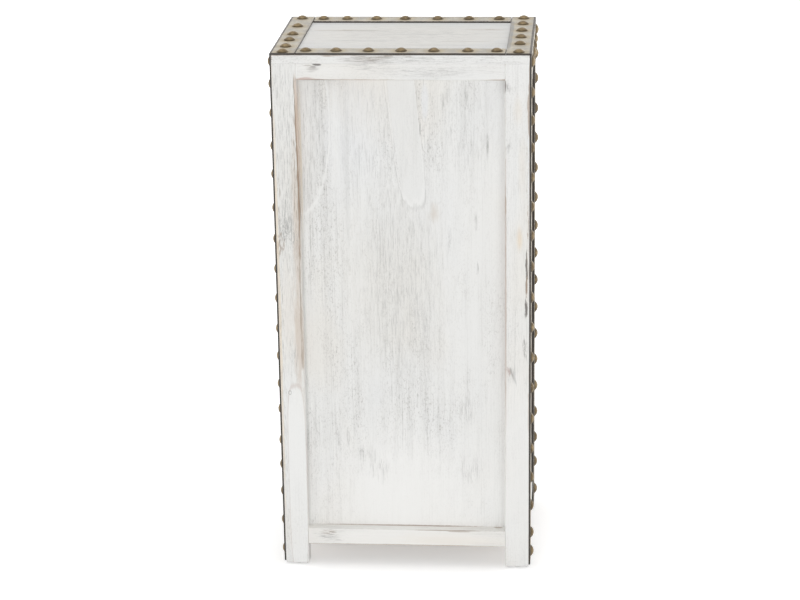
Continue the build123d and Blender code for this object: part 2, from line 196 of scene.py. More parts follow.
def make_whitewash_group():
    """The wood's grain and paint: coordinates are across the board, through it and along its grain."""
    tree = bpy.data.node_groups.new("whitewash", "ShaderNodeTree")
    for way, sockets in (("INPUT", WHITEWASH_INPUTS), ("OUTPUT", WHITEWASH_OUTPUTS)):
        for name, kind in sockets.items():
            tree.interface.new_socket(name, in_out=way, socket_type="NodeSocket" + kind)
    g = Graph(tree)
    entry = g.node("NodeGroupInput").outputs
    leave = g.node("NodeGroupOutput").inputs
    grain, edge, seam, thin, rings, wear = (entry[name] for name in WHITEWASH_INPUTS)

    def noise(share, scale, detail, roughness=0.5):
        """Noise drawn out along the grain, the more the smaller its share is."""
        return g.noise(g.vector("MULTIPLY", grain, (1.0, 1.0, share)), scale, detail, roughness)

    chip = noise(0.12, 70.0, 4.0, 0.7)

    def crease(distance, *chipped):
        """A dark line where distance is next to nothing, kept where the paint is chipped."""
        return g.math("MULTIPLY", g.step(distance, *CREASE_END, 1.0, 0.0), g.step(chip, *chipped))

    # Broad tones of the paint, and where it is thin
    warm = noise(0.5, 9.0, 2.0)
    patches = noise(0.28, 21.0, 3.0, 0.6)
    bare = g.math("MULTIPLY", g.step(patches, 0.38, 0.70, 0.25, 1.0), thin)

    # Long fine lines of grain in bands along the board, shorter strokes among them, specks, and
    # the late wood of the year rings
    bands = g.step(noise(0.02, 75.0, 3.0, 0.6), 0.36, 0.66, 0.35, 1.15)
    lines = g.step(noise(0.014, 470.0, 4.0, 0.75), 0.49, 0.70)
    dashes = g.step(noise(0.08, 560.0, 4.0, 0.75), 0.50, 0.72)
    specks = g.step(noise(0.5, 520.0, 3.0, 0.8), 0.50, 0.70)
    late = g.math("MULTIPLY", g.step(rings, 0.15, 0.93), g.step(rings, 0.94, 1.0, 1.0, 0.0))
    strokes = g.math("MULTIPLY", g.math("MULTIPLY", lines, bands), LINE_SHARE)
    for layer, share in ((dashes, DASH_SHARE), (specks, SPECK_SHARE), (late, RING_SHARE)):
        strokes = g.math("ADD", strokes, g.math("MULTIPLY", layer, share))
    shown = g.math("MULTIPLY", strokes, bare, clamp=True)

    color = g.mix(g.step(warm, 0.48, 0.68, 0.0, 0.55), PAINT_WHITE, PAINT_CREAM)
    color = g.mix(g.step(warm, 0.30, 0.46, 0.16, 0.0), color, PAINT_BLUE)
    color = g.mix(shown, color, GRAIN_GREY)

    # Rubbed and chipped edges, broken along the board
    reach = g.math("MULTIPLY", g.step(chip, 0.48, 0.80), g.math("MULTIPLY", wear, WEAR_REACH))
    rubbed = g.step(g.math("SUBTRACT", edge, reach), *WEAR_END, 1.0, 0.0)
    kept = g.step(chip, 0.40, 0.62, 0.10, 0.60)
    color = g.mix(g.math("MULTIPLY", rubbed, kept), color, WORN_BROWN)
    color = g.mix(crease(edge, 0.42, 0.60, 0.08, 0.50), color, DEEP_BROWN)
    # Where two boards meet flush, the paint hides all but traces of the joint
    color = g.mix(crease(seam, 0.45, 0.70, 0.10, 0.42), color, GRAIN_GREY)

    brush = noise(0.05, 420.0, 2.0)
    g.feed(leave["Color"], color)
    g.feed(leave["Roughness"], g.step(shown, 0.0, 0.5, 0.56, 0.76))
    g.feed(leave["Height"], g.math("SUBTRACT", g.math("MULTIPLY", brush, 0.3), shown))


GRAIN_ORDER = {"x": ("Y", "Z", "X"), "y": ("X", "Z", "Y"), "z": ("X", "Y", "Z")}


def grain_coordinates(g, place, along, shift):
    """Object coordinates turned so that the last one runs along the grain, moved by a board's own shift."""
    parts = g.separate(place)
    turned = g.combine(*(parts[name] for name in GRAIN_ORDER[along]))
    return g.vector("ADD", turned, shift)


WOBBLE_STRETCH = (1.0, 1.0, 0.16)
WOBBLE_SCALE = 17.0
WOBBLE_REACH = (22 * MM, 22 * MM, 0.0)


def ring_phase(g, grain, pith, tilt, spacing, seed):
    """How far a point is through its year ring, from 0 to 1, round a pith that leans by tilt."""
    wobble = g.noise(g.vector("MULTIPLY", grain, WOBBLE_STRETCH), WOBBLE_SCALE, output="Color")
    centred = g.vector("SUBTRACT", wobble, (0.5, 0.5, 0.5))
    bent = g.vector("ADD", grain, g.vector("MULTIPLY", centred, WOBBLE_REACH))
    u, v, w = g.separate(g.vector("SUBTRACT", bent, pith))
    depth = g.math("ADD", v, g.math("MULTIPLY", w, tilt))
    radius = g.vector("LENGTH", g.combine(u, depth, 0.0))
    return g.math("FRACT", g.math("ADD", g.math("MULTIPLY", radius, 1 / spacing), seed))


def edge_distance(g, place, low, high):
    """How far a point on a board's surface is from the nearest edge of the board."""
    middle = tuple((a + b) / 2 for a, b in zip(low, high))
    half = tuple((b - a) / 2 for a, b in zip(low, high))
    away = g.vector("ABSOLUTE", g.vector("SUBTRACT", place, middle))
    x, y, z = g.separate(g.vector("SUBTRACT", half, away))
    pair = g.math("MINIMUM", x, y)
    other = g.math("MAXIMUM", x, y)
    return g.math("MAXIMUM", pair, g.math("MINIMUM", other, z))


# How far the ragged outline and the strokes of a mark are drawn out along the grain, and how fine
# they are
RAGGED_STRETCH = 0.16
RAGGED_SCALE = 260.0
STROKE_STRETCH = 0.07
STROKE_SCALE = 640.0
# Where the noise turns into a stroke, below and above the mark's own level
STROKE_BELOW = -0.02
STROKE_ABOVE = 0.14
# Where a whorl's line fades, as a share of the way to the next one
WHORL_STEP = (0.08, 0.30)
DEFAULT_SOFT = 0.5
DEFAULT_ROUGH = 0.5


def drawn_out(along, share):
    """A scale for coordinates that draws a pattern out along one axis."""
    return tuple(share if axis == along else 1.0 for axis in "xyz")


def blot(g, place, spot, along=None):
    """The mask of one mark: a soft ellipse, broken up along the grain, or only its rim.

    A mark is soft towards its outline and rough along it. It may lean, be blunt as a rounded
    rectangle is, keep only its rim, or show as whorls or as strokes of grain."""
    scaled = g.vector("DIVIDE", g.vector("SUBTRACT", place, spot["centre"]), spot["radii"])
    if "lean" in spot:
        x, y, z = g.separate(scaled)
        scaled = g.combine(g.math("ADD", x, g.math("MULTIPLY", z, spot["lean"])), y, z)
    if spot.get("blunt"):
        away = g.math("SQRT", g.vector("LENGTH", g.vector("MULTIPLY", scaled, scaled)))
    else:
        away = g.vector("LENGTH", scaled)
    ragged = g.vector("MULTIPLY", place, drawn_out(along, RAGGED_STRETCH))
    broken = g.math("SUBTRACT", g.noise(ragged, spot.get("scale", RAGGED_SCALE), 3.0, 0.65), 0.5)
    away = g.math("ADD", away, g.math("MULTIPLY", broken, 2 * spot.get("rough", DEFAULT_ROUGH)))
    mask = g.step(away, 1 - spot.get("soft", DEFAULT_SOFT), 1.0, spot["strength"], 0.0)
    if "rim" in spot:
        mask = g.math("MULTIPLY", mask, g.step(away, 1 - spot["rim"], 1 - spot["rim"] / 2))
    if "whorls" in spot:
        turn = g.math("FRACT", g.math("MULTIPLY", away, spot["whorls"]))
        off = g.math("ABSOLUTE", g.math("SUBTRACT", turn, 0.5))
        mask = g.math("MULTIPLY", mask, g.step(off, *WHORL_STEP, 1.0, 0.0))
    if "strokes" in spot:
        fine = g.noise(g.vector("MULTIPLY", place, drawn_out(along, STROKE_STRETCH)), STROKE_SCALE, 5.0, 0.8)
        level = spot["strokes"]
        mask = g.math("MULTIPLY", mask, g.step(fine, level + STROKE_BELOW, level + STROKE_ABOVE))
    return mask


# Far enough to put the edge of a joined side out of reach of the wear
BEYOND = 1.0


def whitewashed(name, low, high, along, shift, thin, joined="", wear=1.0, spots=()):
    """One board's material. low and high are its corners, joined names its sides that meet other boards
    flush, such as -x or +z, and spots are its own marks."""
    made, g, shader, place = new_material(name)
    grain = grain_coordinates(g, place, along, shift)
    rings = ring_phase(g, grain, pith=(0.0, 30 * MM, 0.0), tilt=0.02, spacing=12 * MM, seed=shift[0])
    free_low, free_high = Vector(low), Vector(high)
    for side in joined.split():
        moved = free_high if side[0] == "+" else free_low
        moved["xyz".index(side[1])] += BEYOND if side[0] == "+" else -BEYOND
    inputs = {
        "Grain": grain, "Edge": edge_distance(g, place, free_low, free_high),
        "Seam": edge_distance(g, place, low, high), "Thin": thin, "Rings": rings, "Wear": wear,
    }
    group = g.node("ShaderNodeGroup", node_tree=bpy.data.node_groups["whitewash"])
    for socket, value in inputs.items():
        g.feed(group.inputs[socket], value)
    color = group.outputs["Color"]
    for spot in spots:
        color = g.mix(blot(g, place, spot, along), color, spot["color"])
    g.feed(shader.inputs["Base Color"], color)
    g.feed(shader.inputs["Roughness"], group.outputs["Roughness"])
    g.feed(shader.inputs["Normal"], g.bump(group.outputs["Height"], strength=0.35, distance=0.5 * MM))
    return made


# Bare pine inside

PINE_LIGHT = (0.70, 0.55, 0.36, 1)
PINE_MIDDLE = (0.62, 0.46, 0.28, 1)
PINE_DARK = (0.46, 0.30, 0.155, 1)


def bare_pine(name, along, shift):
    """Sanded pine with no paint, for the drawer boxes, runners, cleats and stops."""
    made, g, shader, place = new_material(name)
    grain = grain_coordinates(g, place, along, shift)
    rings = ring_phase(g, grain, pith=(10 * MM, 40 * MM, 0.0), tilt=0.03, spacing=5 * MM, seed=shift[0])
    fibre = g.noise(g.vector("MULTIPLY", grain, (1.0, 1.0, 0.04)), 500.0, 4.0, 0.6)
    tone = g.noise(grain, 9.0, 2.0)
    late = g.math("MULTIPLY", g.step(rings, 0.35, 0.92), g.step(rings, 0.94, 1.0, 1.0, 0.0))
    shown = g.math("ADD", g.math("MULTIPLY", late, 0.42), g.step(fibre, 0.35, 0.8, 0.0, 0.35), clamp=True)
    color = g.mix(shown, g.mix(tone, PINE_LIGHT, PINE_MIDDLE), PINE_DARK)
    g.feed(shader.inputs["Base Color"], color)
    g.feed(shader.inputs["Roughness"], g.step(shown, 0.0, 1.0, 0.55, 0.72))
    g.feed(shader.inputs["Normal"], g.bump(g.math("SUBTRACT", 1.0, shown), strength=0.25, distance=0.4 * MM))
    return made


# Metals and plastic

# The first two are dimmed or brightened before use
BRASS_LIGHT = (0.285, 0.21, 0.11)
BRASS_DARK = (0.165, 0.12, 0.068)
BRASS_RUBBED = (0.50, 0.39, 0.225, 1)
BRASS_PIT = (0.06, 0.045, 0.03, 1)
# Painted shade round the rim of a nail's head
BRASS_RIM_SHADE = (0.05, 0.036, 0.02, 1)
BRASS_METALLIC = 0.70

STRAP_CREAM = (0.625, 0.57, 0.465, 1)
STRAP_GREY = (0.505, 0.475, 0.42, 1)
STRAP_WHITE = (0.75, 0.715, 0.645, 1)
HALO_TAN = (0.50, 0.388, 0.205, 1)
NAIL_SHADOW_DARK = (0.20, 0.14, 0.08, 1)
RIM_GREY = (0.33, 0.30, 0.27, 1)
GRIT_BROWN = (0.22, 0.18, 0.14, 1)
RIM_BLACK = (0.05, 0.04, 0.033, 1)

EDGE_BLACK = (0.018, 0.015, 0.013, 1)
EDGE_BROWN = (0.045, 0.033, 0.024, 1)
EDGE_PAINT = (0.30, 0.27, 0.23, 1)

PLASTIC_WHITE = (0.84, 0.84, 0.82, 1)
PLASTIC_SCUFF = (0.55, 0.53, 0.50, 1)


def aged_brass(name, fineness=1.0, shine=1.0):
    """Dull antique brass: dark in its hollows, with painted shade round a nail's rim, lighter where it is
    rubbed.
    """
    made, g, shader, place = new_material(name)
    tone = g.noise(place, 90.0 * fineness, 4.0, 0.6)
    pit = g.noise(place, 900.0 * fineness, 3.0, 0.65)
    rubbed = g.noise(place, 260.0 * fineness, 3.0, 0.55)
    light, dark = (tuple(part * shine for part in tint) + (1,) for tint in (BRASS_LIGHT, BRASS_DARK))
    color = g.mix(g.step(tone, 0.35, 0.70), light, dark)
    color = g.mix(g.step(rubbed, 0.50, 0.74, 0.0, 0.5 * shine), color, BRASS_RUBBED)
    color = g.mix(g.step(pit, 0.58, 0.72, 0.0, 0.55), color, BRASS_PIT)
    # Painted shade round the rim of a nail's head, where the rim attribute is high
    color = g.mix(g.step(g.attribute("rim"), 0.15, 0.9, 0.0, 0.80), color, BRASS_RIM_SHADE)
    g.feed(shader.inputs["Base Color"], color)
    shader.inputs["Metallic"].default_value = BRASS_METALLIC
    g.feed(shader.inputs["Roughness"], g.step(tone, 0.3, 0.7, 0.38, 0.58))
    g.feed(shader.inputs["Normal"], g.bump(pit, strength=0.3, distance=0.2 * MM))
    return made


def strap_paint(name, spots=()):
    """The whitewashed face of a strap, tanned round each nail with painted shadow next to each head, and
    dark along its edges.
    """
    made, g, shader, place = new_material(name)
    halo, rim = g.attribute("halo"), g.attribute("rim")
    cloud = g.noise(place, 46.0, 4.0, 0.65)
    grit = g.noise(place, 480.0, 4.0, 0.75)
    scratch = g.noise(g.vector("MULTIPLY", place, (1.0, 1.0, 0.3)), 190.0, 3.0, 0.7)
    color = g.mix(g.step(cloud, 0.38, 0.64), STRAP_CREAM, STRAP_GREY)
    color = g.mix(g.step(scratch, 0.50, 0.72, 0.0, 0.50), color, STRAP_WHITE)
    for spot in spots:
        color = g.mix(blot(g, place, spot), color, spot["color"])
    clouded = g.math("ADD", cloud, g.math("MULTIPLY", grit, 0.4))
    tan = g.math("MULTIPLY", halo, g.step(clouded, 0.45, 0.9, 0.95, 0.50))
    color = g.mix(tan, color, HALO_TAN)
    # Painted shadow next to each nail's head
    color = g.mix(g.step(halo, 0.80, 1.0, 0.0, 0.45), color, NAIL_SHADOW_DARK)
    color = g.mix(g.math("MULTIPLY", g.step(rim, 0.0, 0.7), 0.35), color, RIM_GREY)
    color = g.mix(g.step(grit, 0.58, 0.72, 0.0, 0.65), color, GRIT_BROWN)
    ragged = g.math("ADD", rim, g.math("MULTIPLY", g.math("SUBTRACT", grit, 0.5), 0.9))
    color = g.mix(g.step(ragged, 0.50, 0.72, 0.0, 0.90), color, RIM_BLACK)
    g.feed(shader.inputs["Base Color"], color)
    g.feed(shader.inputs["Roughness"], g.step(cloud, 0.3, 0.7, 0.5, 0.68))
    g.feed(shader.inputs["Normal"], g.bump(grit, strength=0.25, distance=0.3 * MM))
    return made


def strap_edge(name):
    """The dark bare edge of a strap, with specks of paint."""
    made, g, shader, place = new_material(name)
    cloud = g.noise(place, 60.0, 4.0, 0.65)
    grit = g.noise(place, 600.0, 3.0, 0.7)
    color = g.mix(g.step(cloud, 0.35, 0.7), EDGE_BLACK, EDGE_BROWN)
    color = g.mix(g.step(grit, 0.60, 0.72, 0.0, 0.5), color, EDGE_PAINT)
    g.feed(shader.inputs["Base Color"], color)
    g.feed(shader.inputs["Roughness"], g.step(cloud, 0.3, 0.7, 0.5, 0.75))
    return made


def moulded_plastic(name):
    """White plastic of the glides, with scuffs."""
    made, g, shader, place = new_material(name)
    scuff = g.noise(g.vector("MULTIPLY", place, (1.0, 0.35, 1.0)), 700.0, 4.0, 0.7)
    color = g.mix(g.step(scuff, 0.55, 0.75, 0.0, 0.5), PLASTIC_WHITE, PLASTIC_SCUFF)
    g.feed(shader.inputs["Base Color"], color)
    g.feed(shader.inputs["Roughness"], g.step(scuff, 0.3, 0.7, 0.35, 0.55))
    return made


# Meshes


def mesh_object(name, bm, materials, replaced):
    """Makes a piece of a finished bmesh: it rides on the case and stands for a node."""
    mesh = bpy.data.meshes.new(name)
    bm.to_mesh(mesh)
    bm.free()
    for material in materials:
        mesh.materials.append(material)
    piece = bpy.data.objects.new(name, mesh)
    bpy.context.scene.collection.objects.link(piece)
    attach(piece, "case")
    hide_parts(replaced)


def solid_boxes(node):
    """The lowest and highest corners of each of a node's separate solids, found from its mesh."""
    bm = bmesh.new()
    bm.from_mesh(nodes[node].data)
    bmesh.ops.remove_doubles(bm, verts=bm.verts, dist=0.01 * MM)
    seen = set()
    boxes = []
    for start in bm.verts:
        if start in seen:
            continue
        stack, members = [start], []
        seen.add(start)
        while stack:
            vertex = stack.pop()
            members.append(vertex.co.copy())
            for edge in vertex.link_edges:
                other = edge.other_vert(vertex)
                if other not in seen:
                    seen.add(other)
                    stack.append(other)
        low = Vector(min(place[k] for place in members) for k in range(3))
        high = Vector(max(place[k] for place in members) for k in range(3))
        boxes.append((low, high))
    bm.free()
    return boxes


def facing(out):
    """The direction that a strap or nail faces, and the number of its axis."""
    normal = Vector(out)
    return normal, max(range(3), key=lambda k: abs(normal[k]))


NAIL_SEGMENTS = 28
NAIL_RINGS = 7
NAIL_SHANK = 11.5 * MM
# Shares of a head's height and radius
NAIL_WALL_SHARE = 0.1
CROWN_SHARE = 0.03
DENT_SHARE = 0.012
LEAN_SHARE = 0.05
RIM_SHADE_FADE = 1.5


def nails(node, out):
    """Domed heads with slightly uneven hammering, one for each nail of a node. Returns their seats."""
    normal, axis = facing(out)
    across = Vector((0, 0, 0))
    across[(axis + 1) % 3] = 1
    side = normal.cross(across)
    draw = random.Random(node)
    bm = bmesh.new()
    rim = bm.verts.layers.float.new("rim")
    seats = []
    for low, high in solid_boxes(node):
        outer = high[axis] if normal[axis] > 0 else low[axis]
        height = high[axis] - low[axis] - NAIL_SHANK
        radius = min(high[k] - low[k] for k in range(3) if k != axis) / 2
        wall = height * NAIL_WALL_SHARE
        seat = (low + high) / 2
        seat[axis] = outer - normal[axis] * height
        seats.append(seat)
        seed = draw.uniform(0, 6)
        lean = Vector((draw.uniform(-1, 1), draw.uniform(-1, 1))) * LEAN_SHARE
        dome = height - wall
        curve = (radius**2 + dome**2) / (2 * dome)
        rings = []
        # From the rim in to the crown, evenly along the dome's curve
        for k in range(NAIL_RINGS + 1):
            t = k / NAIL_RINGS
            r = radius * math.cos(t * math.pi / 2) if k < NAIL_RINGS else radius * CROWN_SHARE
            h = wall + math.sqrt(curve**2 - r**2) - (curve - dome)
            ring = []
            for n in range(NAIL_SEGMENTS):
                turn = 2 * math.pi * n / NAIL_SEGMENTS
                dent = 1 - DENT_SHARE * (1 + math.sin(3 * turn + seed)) * (1 - t)
                x = r * dent * math.cos(turn) + lean.x * radius * t * (1 - t)
                y = r * dent * math.sin(turn) + lean.y * radius * t * (1 - t)
                vertex = bm.verts.new(seat + across * x + side * y + normal * min(h, height))
                # How much painted shade the brass gets: full at the rim, none at the crown
                vertex[rim] = (1 - t) ** RIM_SHADE_FADE
                ring.append(vertex)
            rings.append(ring)
        foot = [bm.verts.new(v.co - normal * wall) for v in rings[0]]
        for vertex in foot:
            vertex[rim] = 1
        for lower, upper in zip([foot] + rings, rings):
            for n in range(NAIL_SEGMENTS):
                m = (n + 1) % NAIL_SEGMENTS
                bm.faces.new((lower[n], lower[m], upper[m], upper[n]))
        bm.faces.new(rings[-1])
        bm.faces.new(list(reversed(foot)))
    bmesh.ops.recalc_face_normals(bm, faces=bm.faces)
    for face in bm.faces:
        face.smooth = len(face.verts) == 4
    mesh_object(node + "_heads", bm, [brass], node)
    return seats


STRAP_CELL = 3.5 * MM
STRAP_MIN_CELLS = 4
STRAP_ROUND = 0.5 * MM
STRAP_WAVE = 0.12 * MM
# Two crossing waves in a strap's face, in radians to the metre across and along it
WAVES = ((61, 23), (-31, 97))
# The halo round a nail, tan and with painted shadow next to the head: full as far as the inner distance,
# gone at the outer one
HALO_INNER = 8.0 * MM
HALO_OUTER = 18.5 * MM
# The dark rim of a strap, stronger along the outer edges of a whole side
RIM_WIDTH = 4.2 * MM
OUTER_SHARE = 2.0
INNER_SHARE = 0.62


def dip(x, y):
    """How far a strap's face lies below its plane."""
    return STRAP_WAVE * abs(sum(math.sin(x * u + y * v) for u, v in WAVES)) / 2


def cell_lines(low, high):
    """Places across a strap, with a close pair at each edge for its rounding."""
    count = max(STRAP_MIN_CELLS, round((high - low) / STRAP_CELL))
    inside = [low + (high - low) * n / count for n in range(1, count)]
    return [low, low + STRAP_ROUND, *inside, high - STRAP_ROUND, high]


def straps(node, out, seats, face):
    """Thin straps with softened edges, a slightly uneven face and halos round their nails."""
    normal, axis = facing(out)
    a, b = [k for k in range(3) if k != axis]
    bm = bmesh.new()
    halo = bm.verts.layers.float.new("halo")
    rim = bm.verts.layers.float.new("rim")
    boxes = solid_boxes(node)
    all_low = Vector(min(low[k] for low, _ in boxes) for k in range(3))
    all_high = Vector(max(high[k] for _, high in boxes) for k in range(3))
    for low, high in boxes:
        outer, inner = (high[axis], low[axis]) if normal[axis] > 0 else (low[axis], high[axis])
        xs, ys = cell_lines(low[a], high[a]), cell_lines(low[b], high[b])
        rows = []
        for i, x in enumerate(xs):
            row = []
            for j, y in enumerate(ys):
                at_edge = i in (0, len(xs) - 1) or j in (0, len(ys) - 1)
                place = Vector((0, 0, 0))
                place[a], place[b] = x, y
                place[axis] = outer - normal[axis] * (STRAP_ROUND if at_edge else dip(x, y))
                vertex = bm.verts.new(place)
                near = min((Vector((place[a] - s[a], place[b] - s[b])).length for s in seats), default=1)
                vertex[halo] = max(0.0, min(1.0, (HALO_OUTER - near) / (HALO_OUTER - HALO_INNER)))
                shown = 0.0
                for k, at in ((a, x), (b, y)):
                    for gap, outside in (
                        (at - low[k], low[k] - all_low[k] < RIM_WIDTH),
                        (high[k] - at, all_high[k] - high[k] < RIM_WIDTH),
                    ):
                        share = OUTER_SHARE if outside else INNER_SHARE
                        shown = max(shown, share * (1 - gap / RIM_WIDTH))
                vertex[rim] = shown
                row.append(vertex)
            rows.append(row)
        for row, after in zip(rows, rows[1:]):
            for j in range(len(ys) - 1):
                bm.faces.new((row[j], after[j], after[j + 1], row[j + 1])).smooth = True
        # The outline of the face, and the same outline on the underside
        loop = [row[0] for row in rows] + rows[-1][1:]
        loop += [row[-1] for row in reversed(rows[:-1])] + list(reversed(rows[0][1:-1]))
        under = []
        for vertex in loop:
            place = vertex.co.copy()
            place[axis] = inner
            under.append(bm.verts.new(place))
        for n in range(len(loop)):
            m = (n + 1) % len(loop)
            bm.faces.new((loop[n], under[n], under[m], loop[m])).material_index = 1
        bm.faces.new(under).material_index = 1
    bmesh.ops.recalc_face_normals(bm, faces=bm.faces)
    mesh_object(node + "_bands", bm, [face, dark_edge], node)


# Dressing of the CAD pieces


def dress(node, material):
    """Gives a CAD piece one material."""
    mesh = nodes[node].data
    mesh.materials.clear()
    mesh.materials.append(material)


SHIFT_REACH = 3
shift_draw = random.Random(7)


def own_shift():
    """A board's own place in the wood that all boards are cut from."""
    return tuple(shift_draw.uniform(-SHIFT_REACH, SHIFT_REACH) for _ in range(3))


def board(node, along, **details):
    """A whitewashed board."""
    low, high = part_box(node)
    spots = MARKS.get(node, ())
    dress(node, whitewashed("paint_" + node, low, high, along, own_shift(), spots=spots, **details))


# Floor and light

FLOOR_SIZE = 40.0
FLOOR_WHITE = (0.92, 0.92, 0.92, 1)
WHITE = (1, 1, 1, 1)
# The floor's own glow near the chest and away from it, where it turns into the white background
GLOW_NEAR, GLOW_FAR = 0.3, 2.2
GLOW_LOW, GLOW_HIGH = 0.38, 0.75

WORLD_LEVEL = 0.52
LAMP_AIM = Vector((0, 0, 0.38))
LAMPS = (
    # Place, size, and how bright it makes a white wall that faces it
    ((0.7, 3.3, 0.95), 2.0, 0.20),
    ((-1.6, 3.0, 0.20), 2.0, 0.205),
    ((0.0, 0.3, 3.6), 2.4, 0.18),
    ((-1.5, -3.2, 1.2), 2.0, 0.17),
    ((1.5, -3.2, 1.0), 2.0, 0.13),
    ((3.4, 0.2, 0.9), 2.0, 0.17),
    ((-3.4, 0.2, 0.9), 2.0, 0.17),
)


def make_floor():
    """A plain pale floor that keeps the chest's soft shadow."""
    bm = bmesh.new()
    bmesh.ops.create_grid(bm, x_segments=1, y_segments=1, size=FLOOR_SIZE)
    mesh = bpy.data.meshes.new("floor")
    bm.to_mesh(mesh)
    bm.free()
    floor = bpy.data.objects.new("floor", mesh)
    bpy.context.scene.collection.objects.link(floor)
    made, g, shader, place = new_material("pale_floor")
    shader.inputs["Base Color"].default_value = FLOOR_WHITE
    shader.inputs["Roughness"].default_value = 0.9
    shader.inputs["Specular IOR Level"].default_value = 0.0
    path = g.node("ShaderNodeLightPath").outputs
    seen = g.math("MAXIMUM", path["Is Camera Ray"], path["Is Glossy Ray"])
    level = g.step(g.vector("LENGTH", place), GLOW_NEAR, GLOW_FAR, GLOW_LOW, GLOW_HIGH)
    glow = g.node("ShaderNodeEmission", {"Color": WHITE, "Strength": g.math("MULTIPLY", seen, level)})
    both = g.node("ShaderNodeAddShader")
    g.feed(both.inputs[0], shader.outputs[0])
    g.feed(both.inputs[1], glow.outputs[0])
    g.feed(made.node_tree.nodes["Material Output"].inputs["Surface"], both.outputs[0])
    mesh.materials.append(made)


def make_light():
    """An even white surround and large soft lamps on all sides, the lower ones for the chest's feet."""
    world = bpy.data.worlds.new("studio")
    bpy.context.scene.world = world
    world.use_nodes = True
    g = Graph(world.node_tree)
    back = world.node_tree.nodes["Background"]
    path = g.node("ShaderNodeLightPath").outputs
    mirrored = g.math("MAXIMUM", path["Is Glossy Ray"], path["Is Transmission Ray"])
    seen = g.math("MAXIMUM", path["Is Camera Ray"], mirrored)
    g.feed(back.inputs["Strength"], g.math("ADD", WORLD_LEVEL, g.math("MULTIPLY", seen, 1 - WORLD_LEVEL)))
    back.inputs["Color"].default_value = WHITE
    for number, (place, size, level) in enumerate(LAMPS):
        way = LAMP_AIM - Vector(place)
        data = bpy.data.lights.new(f"lamp_{number}", "AREA")
        data.size = size
        data.energy = level * math.pi**2 * way.length_squared
        lamp = bpy.data.objects.new(data.name, data)
        bpy.context.scene.collection.objects.link(lamp)
        lamp.location = place
        lamp.rotation_euler = way.to_track_quat("-Z", "Y").to_euler()


# Marks on the wood. On the photographed back they are placed across it from its left edge and up
# from the foot, and on the top across it and in from the back edge, all in millimetres.

INK = (0.13, 0.115, 0.105, 1)
SOOT = (0.20, 0.17, 0.15, 1)
SMOKE = (0.26, 0.24, 0.22, 1)
GREY = (0.36, 0.355, 0.34, 1)
SLATE = (0.37, 0.37, 0.365, 1)
DUST = (0.52, 0.49, 0.46, 1)
SOFT_GREY = (0.54, 0.54, 0.53, 1)
# Painted shade for the posts' recess corners: a dark line beside the strap and brown over the wall
CORNER_SHADOW_DARK = (0.10, 0.08, 0.065, 1)
CORNER_SHADE_BROWN = (0.36, 0.28, 0.21, 1)
WALNUT = (0.27, 0.185, 0.125, 1)
BROWN = (0.36, 0.255, 0.17, 1)
RUST = (0.34, 0.19, 0.13, 1)
RED_BROWN = (0.34, 0.19, 0.15, 1)
ROSE_BROWN = (0.46, 0.34, 0.285, 1)
DULL_ROSE = (0.56, 0.44, 0.40, 1)
PALE_WALNUT = (0.60, 0.47, 0.37, 1)
DUN = (0.50, 0.43, 0.36, 1)
STRAW = (0.55, 0.50, 0.43, 1)
SAND = (0.60, 0.53, 0.45, 1)
HONEY = (0.60, 0.505, 0.42, 1)
TAN = (0.80, 0.70, 0.565, 1)
IVORY = (0.71, 0.70, 0.655, 1)
BISCUIT = (0.80, 0.755, 0.70, 1)
OATMEAL = (0.81, 0.785, 0.725, 1)
DULL_WHITE = (0.80, 0.80, 0.785, 1)
COOL_WHITE = (0.80, 0.815, 0.84, 1)
WARM_WHITE = (0.865, 0.86, 0.835, 1)
PALE = (0.88, 0.88, 0.865, 1)
CREAM_WHITE = (0.90, 0.88, 0.83, 1)
RAIL_WHITE = (0.91, 0.90, 0.87, 1)
# Painted light for the lower part of the back panel
PAINTED_LIGHT_WHITE = (0.91, 0.905, 0.885, 1)

MARK_DEPTH = 40
PANEL_INWARDS = 15


def mark(centre, radii, color, strength, **details):
    """A mark with its centre and radii in metres."""
    return {"centre": centre, "radii": radii, "color": color, "strength": strength, **details}


def back_mark(across, up, wide, high, color, strength, inwards=0.0, deep=MARK_DEPTH, **details):
    """A mark on the back, wide and high from its middle."""
    centre = (side_x - across * MM, y_back - inwards * MM, z_foot + up * MM)
    return mark(centre, (wide * MM, deep * MM, high * MM), color, strength, **details)


def panel_mark(across, up, wide, high, color, strength, **details):
    """A mark on the back panel."""
    return back_mark(across, up, wide, high, color, strength, PANEL_INWARDS, **details)


def top_mark(across, inwards, wide, deep, color, strength, **details):
    """A mark on the top board."""
    centre = (side_x - across * MM, y_back - inwards * MM, z_top)
    return mark(centre, (wide * MM, deep * MM, MARK_DEPTH * MM), color, strength, **details)


